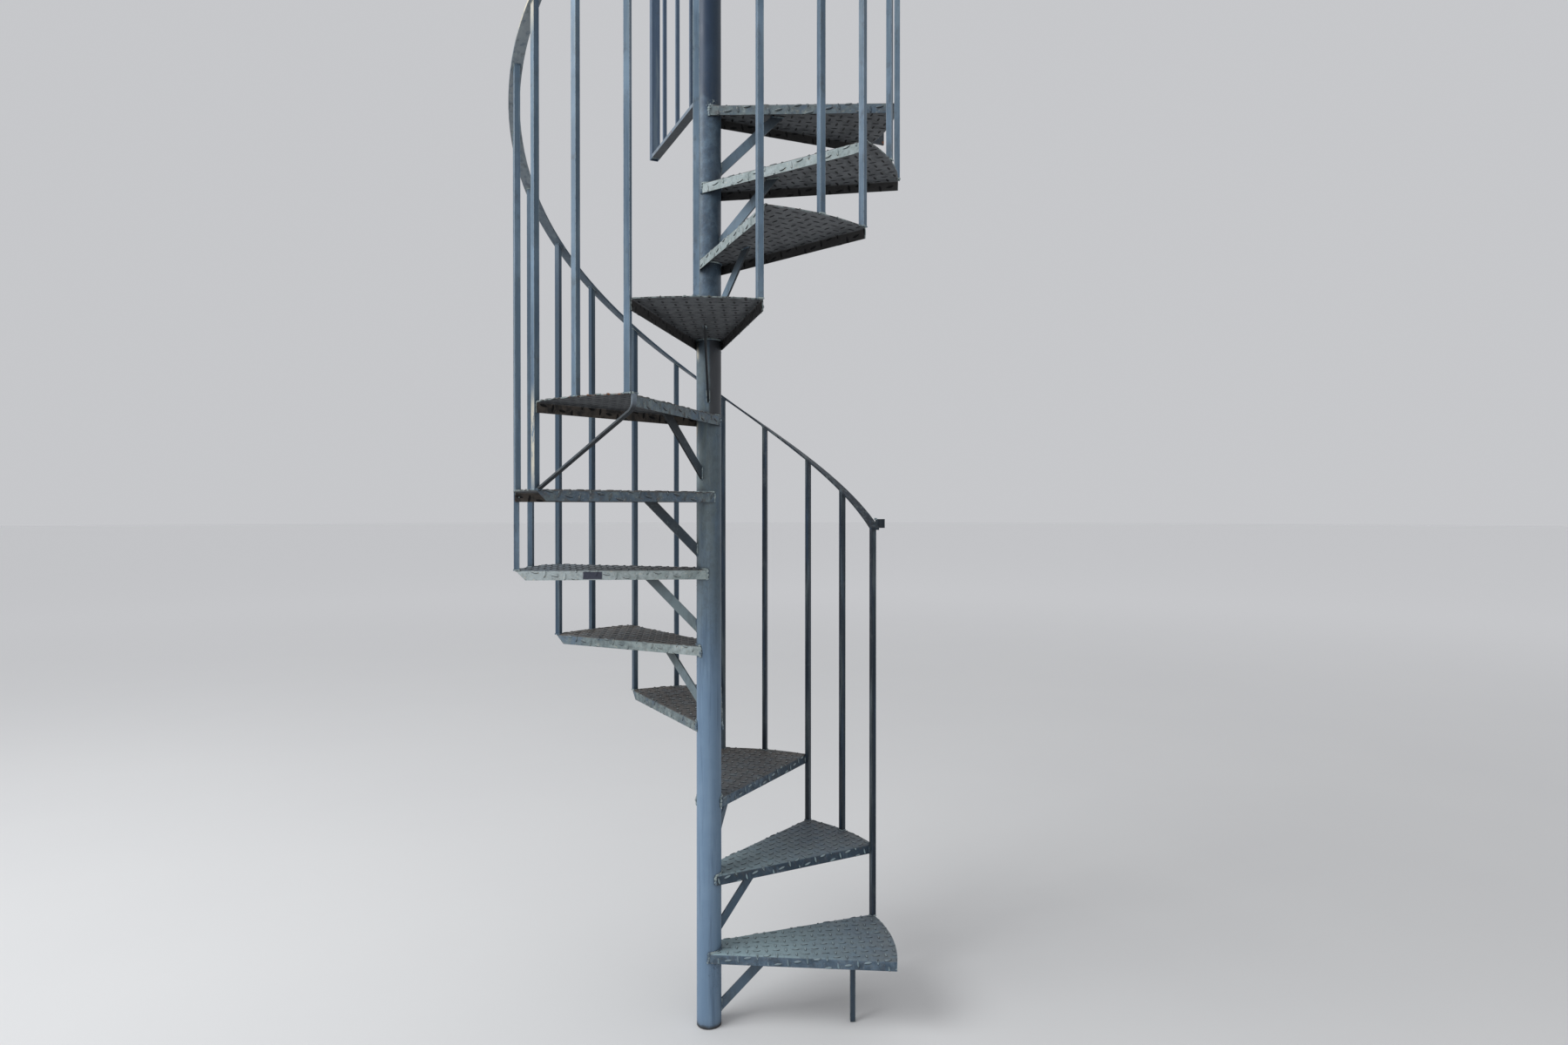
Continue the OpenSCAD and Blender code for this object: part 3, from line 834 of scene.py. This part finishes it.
def pattern(number):
    """The places and turns of all lozenges of one step."""
    draw = random.Random(number)
    tilt = radians(draw.uniform(-4, 4))
    shift = Vector((draw.uniform(0, PITCH), draw.uniform(0, PITCH)))
    places = []
    for i in ROWS_OUT:
        for j in ROWS_ACROSS:
            spot = Vector((i * PITCH, j * PITCH)) + shift
            spot.rotate(Matrix.Rotation(tilt, 2))
            if POLE_RADIUS < spot.length < TREAD_RADIUS + LOZENGE.x / 2 and fits(number, *spot):
                places.append((spot.x, spot.y, tilt + (i + j) % 2 * pi / 2))
    return places


# %% Emboss every step
# How grimy the top and how chalky the flanges are, each at the pole and at the rim, and how sooty
WEAR = {
    1: ((0.02, 0.30), (0.30, 0.22), 0.0),
    2: ((0.20, 0.40), (0.10, -0.1), 0.1),
    3: ((0.60, 0.75), (0.40, -0.2), 0.2),
    4: ((0.90, 0.90), (0.70, 0.60), 0.2),
    5: ((0.90, 0.80), (1.15, 0.45), 0.1),
    6: ((0.85, 0.35), (0.95, 1.50), 0.10),
    7: ((0.80, 0.80), (0.50, 0.42), 0.6),
    8: ((0.90, 0.90), (0.45, 0.65), 0.6),
    9: ((0.80, 0.80), (0.90, 0.70), 0.5),
    10: ((0.70, 0.70), (1.00, 1.10), 0.15),
    11: ((0.70, 0.70), (1.15, 1.05), 0.05),
    12: ((0.70, 0.70), (0.66, 0.46), 0.45),
}
# Places on the outer edges that have rusted, with their reach and strength
RIM_RUST = (
    (Vector((-0.24, -0.53, 1.88)), 0.10, 1.0),
    (Vector((-0.575, -0.06, 1.645)), 0.06, 0.8),
    (Vector((0.5, 0.3, 0.47)), 0.12, 0.5),
)
SHARP_ANGLE = radians(32)
trim = ring_band(POLE_RADIUS + 0.001, TREAD_RADIUS - MARGIN, -FLANGE + MARGIN, 0.01)


def across(ends, point):
    """A value that changes evenly from the pole to the rim, at a point of a step."""
    return ends[0] + (ends[1] - ends[0]) * point.xy.length / TREAD_RADIUS


def rust_at(spot):
    """How rusty an outer edge is at a place: half as much at the end of a rusty stretch."""
    return max((strength * (1 - (spot - place).length / reach * 0.5)
                for place, reach, strength in RIM_RUST if (spot - place).length < reach), default=0)


def embossed(number, name):
    """A step's sheet with its lozenges raised on the outer side and sunk into the inner one."""
    raised, sunk = bmesh.new(), bmesh.new()
    places = pattern(number)
    for place in places:
        press(raised, *place, RAISED)
        press(sunk, *place, SUNK)
    seat = seat_of(name)
    sheet = merged(nodes[name].data)
    sheet.transform(seat.inverted())
    lozenges = combined(mesh_of(raised), "INTERSECT", trim)
    sheet = combined(combined(sheet, "UNION", lozenges), "DIFFERENCE", mesh_of(sunk))
    sheet = without_leaves(sheet)
    grime, chalk, soot = WEAR[number]
    readings = {
        "lift": lambda point: lift_at(point) * 1000,
        "turn": turn_at,
        "grime": lambda point: across(grime, point),
        "chalk": lambda point: across(chalk, point),
        "soot": lambda point: soot,
        "rusted": lambda point: rust_at(seat @ point),
    }
    for key, reading in readings.items():
        values = sheet.attributes.new(key, "FLOAT", "POINT")
        values.data.foreach_set("value", [reading(vertex.co) for vertex in sheet.vertices])
    sheet.transform(seat)
    print(f"{name}: {len(places)} lozenges")
    return sheet


def show(name, mesh, paint):
    """Makes the mesh a painted piece of the stair, softly shaded but with its hard edges kept."""
    mesh.name = name
    mesh.materials.clear()
    mesh.materials.append(paint)
    mesh.shade_smooth()
    mesh.set_sharp_from_angle(angle=SHARP_ANGLE)
    piece = bpy.data.objects.new(name, mesh)
    bpy.context.scene.collection.objects.link(piece)
    piece.modifiers.new("even_shading", "WEIGHTED_NORMAL").keep_sharp = True
    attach(piece, "root")
    print(f"{name}: {len(mesh.polygons)} faces")
    return piece


for number, name in enumerate(TREADS, 1):
    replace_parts(show("checker_" + name, embossed(number, name), plates), name)

# %% [markdown]
# ## Weld beads
# The stair is held by weld beads alone: where the sheet is coped round the pole, at the flanges' ends,
# at both ends of each strut and at the bars' feet and heads. A bead is a row of small overlapping
# pools, so it is drawn as a tube along its seam whose girth swells and shrinks with each pool.

# %% Draw a bead
BEAD_SIDES = 7
BEAD_STEP = 0.0016
# One seeded hand draws all the small irregularities, so they come out the same each time
hand = random.Random(7)


def dense(points, closed=False):
    """Points at about one bead step from each other along straight stretches."""
    ends = points + points[:1] if closed else points
    path = [ends[0].copy()]
    for start, end in zip(ends, ends[1:]):
        count = max(1, ceil((end - start).length / BEAD_STEP))
        path += [start.lerp(end, i / count) for i in range(1, count + 1)]
    return path


def bead(shape, path, radius):
    """Adds one weld bead to the bmesh, along a path of close points."""
    side = (path[1] - path[0]).orthogonal().normalized()
    rings, last = [], len(path) - 1
    for i, point in enumerate(path):
        along = (path[min(i + 1, last)] - path[max(i - 1, 0)]).normalized()
        side = (side - along * side.dot(along)).normalized()
        up = along.cross(side)
        # Thin at both ends, and swelling and shrinking between them
        taper = min(1, 0.45 + 0.3 * min(i, last - i))
        girth = radius * taper * (1 + 0.16 * sin(i * 2.1) + hand.uniform(-0.12, 0.12))
        rings.append([shape.verts.new(point + girth * (cos(a) * side + sin(a) * up))
                      for a in (2 * pi * j / BEAD_SIDES for j in range(BEAD_SIDES))])
    for low, high in zip(rings, rings[1:]):
        for j in range(BEAD_SIDES):
            shape.faces.new((low[j - 1], low[j], high[j], high[j - 1]))
    shape.faces.new(reversed(rings[0]))
    shape.faces.new(rings[-1])


def ball(detail):
    """The points of a small round ball, and its faces as numbers of points."""
    shape = bmesh.new()
    bmesh.ops.create_icosphere(shape, subdivisions=detail, radius=1.0)
    return [v.co.copy() for v in shape.verts], [[v.index for v in face.verts] for face in shape.faces]


BALLS = {detail: ball(detail) for detail in (1, 2)}


def lump(shape, spot, radius, detail=2):
    """Adds one rough drop of weld metal to the bmesh."""
    points, faces = BALLS[detail]
    made = [shape.verts.new(spot + point * radius * hand.uniform(0.78, 1.22)) for point in points]
    for face in faces:
        shape.faces.new([made[i] for i in face])


def around(spot, spread):
    """A place near a spot."""
    return spot + Vector([hand.uniform(-spread, spread) for _ in range(3)])


# %% Weld the steps to the pole
# Radii of the beads on a step's top, on its underside and down its flanges' inner ends
TOP_BEAD, UNDER_BEAD, END_BEAD = 0.0032, 0.0028, 0.0034
# Drops on each of those ends, and fine drops on the pole under each step
END_DROPS, POLE_DROPS = 9, 45


def arc(radius, first, last, z):
    """Close points along a level arc round the pole, from one bearing to another."""
    count = ceil(abs(last - first) * radius / BEAD_STEP)
    turns = [first + (last - first) * i / count for i in range(count + 1)]
    return [Vector((radius * cos(a), radius * sin(a), z)) for a in turns]


def moved(path, matrix):
    """The path's points, carried along by a matrix."""
    return [matrix @ point for point in path]


top_seam = arc(POLE_RADIUS + 0.001, -radians(96), radians(96), 0.0)
under_seam = arc(POLE_RADIUS + 0.001, radians(92), -radians(92), -SHEET - 0.0005)
step_welds = bmesh.new()
for name in TREADS:
    seat = seat_of(name)
    bead(step_welds, moved(top_seam, seat), TOP_BEAD)
    bead(step_welds, moved(under_seam, seat), UNDER_BEAD)
    for normal, along in (REAR, FRONT):
        head = normal * (POLE_RADIUS + 0.0015) + along * 0.0055 - Vector((0, 0, SHEET))
        foot = head - Vector((0, 0, FLANGE - SHEET))
        bead(step_welds, moved(dense([head, foot]), seat), END_BEAD)
        for _ in range(END_DROPS):
            spot = around(head.lerp(foot, hand.random()), 0.002)
            lump(step_welds, seat @ spot, hand.uniform(0.0024, 0.0048))
    for _ in range(POLE_DROPS):
        turn, drop = hand.uniform(-1.9, 1.9), hand.triangular(0.002, 0.07, 0.008)
        spot = Vector((POLE_RADIUS * cos(turn), POLE_RADIUS * sin(turn), -drop))
        lump(step_welds, seat @ spot, hand.uniform(0.0004, 0.0012), 1)
print(f"{len(TREADS)} steps welded to the pole")

# %% [markdown]
# Two places are rougher than the rest. The bead on the last step's top has run into lumps, which
# belong to the welds. Under the first step the pole is rough with spatter that was painted over
# with it, so that spatter is a piece of its own, in the pole's paint.

# %% Roughen two places


def rough_patch(shape, low, high, bearing, number, size):
    """Adds drops half sunk in the pole between two heights, loosely gathered round a bearing."""
    for _ in range(number):
        turn = radians(bearing + hand.gauss(0, 15))
        radius = hand.uniform(0.3, 1.0) * size
        inside = POLE_RADIUS - radius * 0.45
        lump(shape, Vector((inside * cos(turn), inside * sin(turn), hand.uniform(low, high))), radius, 1)


rough_patch(step_welds, 2.818, 2.840, -62, 34, 0.0026)
show("step_weld_beads", mesh_of(step_welds), welds)
spatter = bmesh.new()
rough_patch(spatter, 0.105, 0.205, -52, 110, 0.0024)
show("pole_spatter", mesh_of(spatter), pole_finish)

# %% [markdown]
# A strut is welded along both its sides, under the plate and down the pole. Where it starts and
# ends is read from its own points, turned into the frame of its step.

# %% Weld the struts
# Radii of the beads under the plate and down the pole
PLATE_BEAD, POLE_BEAD = 0.0026, 0.0028

strut_welds = bmesh.new()
for name in TREADS:
    seat = seat_of(name)
    back = seat.inverted()
    points = [back @ point for point in points_of(name.replace("tread", "strut"))]
    half = max(point.y for point in points)
    head = [point.x for point in points if point.z > -SHEET - 0.0005]
    foot = [point.z for point in points if point.xy.length < POLE_RADIUS + 0.002]
    for side in (half, -half):
        under_plate = [Vector((x, side, -SHEET - 0.0006)) for x in (min(head), max(head))]
        up_pole = [Vector((POLE_RADIUS + 0.0004, side, z)) for z in (min(foot), max(foot))]
        bead(strut_welds, moved(dense(under_plate), seat), PLATE_BEAD)
        bead(strut_welds, moved(dense(up_pole), seat), POLE_BEAD)
show("strut_weld_beads", mesh_of(strut_welds), welds)

# %% [markdown]
# The bars' ends are found on the frame: a node of bars is split into single bars by where its
# points stand in plan, and each bar gives the four corners of its foot and of its head.

# %% Weld the bars
# Radii of the beads round a bar's end and down its seam with a flange, and drops along that seam
ROUND_BEAD, SEAM_BEAD = 0.0021, 0.0022
SEAM_DROPS = 4
# Points of one bar lie closer together in plan than this, and points of one corner than that
BAR_REACH, SAME_CORNER = 0.03, 1e-4


def bars_of(name):
    """The lower and the upper corners of each bar of a node, in order round the bar."""
    groups = []
    for corner in points_of(name):
        group = next((g for g in groups if (g[0].xy - corner.xy).length < BAR_REACH), None)
        if group is None:
            group = []
            groups.append(group)
        if all((other - corner).length > SAME_CORNER for other in group):
            group.append(corner)
    for group in groups:
        middle = sum(group, Vector()) / len(group)
        group.sort(key=lambda point: atan2(point.y - middle.y, point.x - middle.x))
        yield [[p for p in group if p.z < middle.z], [p for p in group if p.z > middle.z]]


bar_welds = bmesh.new()
welded_ends = 0
for name in ("corner_balusters", "middle_balusters", "guard_bars", "first_tread_leg"):
    for ends in bars_of(name):
        # The leg only rests on its foot, so its head alone is welded
        for corners in ends[1:] if name == "first_tread_leg" else ends:
            bead(bar_welds, dense(corners, True), ROUND_BEAD)
            welded_ends += 1
            for corner in corners:
                lump(bar_welds, around(corner, 0.001), hand.uniform(0.0012, 0.0028))

# A corner bar is also welded to the front flange of the next step, down its inner edge. The last
# step's front flange ends short of its bar
normal, along = FRONT
flange_end = normal * EDGE + along * CORNER_RUN
for name in TREADS[1:-1]:
    seat = seat_of(name)
    back = seat.inverted()
    bar = min(bars_of("corner_balusters"), key=lambda ends: ((back @ ends[0][0]).xy - flange_end.xy).length)
    run = min((back @ point).dot(along) for point in bar[0])
    start = normal * (EDGE + 0.0004) + along * run
    seam = [start - Vector((0, 0, depth)) for depth in (0.006, FLANGE - 0.003)]
    bead(bar_welds, moved(dense(seam), seat), SEAM_BEAD)
    for _ in range(SEAM_DROPS):
        spot = around(seam[0].lerp(seam[1], hand.random()), 0.0015)
        lump(bar_welds, seat @ spot, hand.uniform(0.0015, 0.003))
print(f"{welded_ends} bar ends welded")

# %% [markdown]
# The remaining seams are short: the guard's rails on the pole and at the post, the bracket on the
# last step, and a few tacks that hold the bent strap and the handrail's tie.

# %% Weld the guard and the small flats
# Radii of the beads on the guard's rails and beside the bracket
RAIL_BEAD, BRACKET_BEAD = 0.0023, 0.0024

for name in ("guard_bottom_rail", "guard_top_rail"):
    near = [p for p in points_of(name) if p.xy.length < POLE_RADIUS + 0.002]
    turns = [atan2(p.y, p.x) for p in near]
    for z in {round(p.z, 4) for p in near}:
        bead(bar_welds, arc(POLE_RADIUS + 0.0008, min(turns), max(turns), z), RAIL_BEAD)
rail = points_of("guard_bottom_rail")
rail_end = max(p.xy.length for p in rail)
rail_low, rail_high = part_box("guard_bottom_rail")
for z in (rail_low[2], rail_high[2]):
    corners = [p for p in rail if p.xy.length > rail_end - 0.001 and abs(p.z - z) < 0.001]
    bead(bar_welds, dense([corners[0], max(corners, key=lambda p: (p - corners[0]).length)]), RAIL_BEAD)
plate_top = top_of(TREADS[-1])
bracket = points_of("top_wall_bracket")
for corner in [p for p in bracket if p.xy.length < TREAD_RADIUS and p.z < plate_top + 0.001]:
    way = corner.xy.normalized().to_3d()
    bead(bar_welds, dense([corner, corner + way * (TREAD_RADIUS - corner.xy.length)]), BRACKET_BEAD)
brace_low, brace_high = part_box("bent_brace")
tacks = [p for p in points_of("bent_brace") if p.z > brace_high[2] - 0.001 or p.z < brace_low[2] + 0.004]
tie = points_of("handrail_wall_tie")
tie_start = min(p.xy.length for p in tie)
tacks += [p for p in tie if p.xy.length < tie_start + 0.001]
for spot in tacks:
    lump(bar_welds, around(spot, 0.001), hand.uniform(0.0018, 0.0032))
show("bar_weld_beads", mesh_of(bar_welds), welds)
print(f"{len(tacks)} tacks")

# %% [markdown]
# ## Floor and light
# The floor is a plain pale disc, so wide that its edge lies at the horizon, and paler far out so
# that it runs into the background there. The stair stands in open shade and gets its light from
# the upper left, so one large soft lamp stands there and a weak one fills in from the front.

# %% Lay the floor
FLOOR_RADIUS = 120.0
floor_shape = bmesh.new()
bmesh.ops.create_circle(floor_shape, cap_ends=True, segments=128, radius=FLOOR_RADIUS)
floor = bpy.data.objects.new("floor", mesh_of(floor_shape, "floor"))
floor.location.z = -0.001
bpy.context.scene.collection.objects.link(floor)
floor_finish = Finish("pale_floor")
away = floor_finish.vectors("LENGTH", floor_finish.place)
floor_tone = floor_finish.over(rgb(216, 216, 216), floor_finish.noise(0.6), rgb(222, 222, 221))
floor_tone = floor_finish.over(floor_tone, floor_finish.fade(away, 1.5, 16.0), rgb(250, 250, 250))
floor.data.materials.append(floor_finish.close(floor_tone, 0.85, floor_finish.noise(30.0), 0.0002))

# %% Hang the lamps


def lamp(name, place, target, size, power, colour=(1, 1, 1)):
    """A square area lamp at a place, turned to a target."""
    data = bpy.data.lights.new(name, "AREA")
    data.shape, data.size, data.energy, data.color = "SQUARE", size, power, colour
    item = bpy.data.objects.new(name, data)
    item.location = place
    item.rotation_euler = (Vector(target) - Vector(place)).to_track_quat("-Z", "Y").to_euler()
    bpy.context.scene.collection.objects.link(item)


MIDDLE = (0.0, 0.0, 1.9)
lamp("large_soft_box", (-4.8, -2.4, 6.0), MIDDLE, 4.0, 360, (0.96, 0.98, 1.0))
lamp("front_fill", (1.0, -6.0, 2.0), MIDDLE, 3.5, 20, (1.0, 0.97, 0.93))
world = bpy.data.worlds.new("pale_room")
bpy.context.scene.world = world
world.use_nodes = True
world.node_tree.nodes["Background"].inputs["Color"].default_value = (0.86, 0.87, 0.90, 1)
world.node_tree.nodes["Background"].inputs["Strength"].default_value = 0.66
bpy.context.scene.view_settings.view_transform = "Standard"

# %% [markdown]
# ## The camera
# The photograph is 1800 by 1200 pixels. Its camera was found together with the stair, from the
# corners of the steps: it stands at eye height in front of the pole, a little to the right, and
# looks almost level. The picture's centre lies slightly off the lens axis, which becomes a small
# shift.

# %% Place the camera
PICTURE = Vector((1800, 1200))
FOCAL_PIXELS = 1049.28
AXIS_ROW = 593.4
EYE = (0.232, -2.823, 1.588)
LOOKS_DOWN = 0.0066
camera_data = bpy.data.cameras.new("viewpoint")
camera_data.sensor_width = 36.0
camera_data.lens = FOCAL_PIXELS / PICTURE.x * camera_data.sensor_width
camera_data.shift_y = (AXIS_ROW - PICTURE.y / 2) / PICTURE.x
camera = bpy.data.objects.new("viewpoint", camera_data)
camera.location = EYE
camera.rotation_euler = (pi / 2 - LOOKS_DOWN, 0, 0)
bpy.context.scene.collection.objects.link(camera)
bpy.context.scene.camera = camera
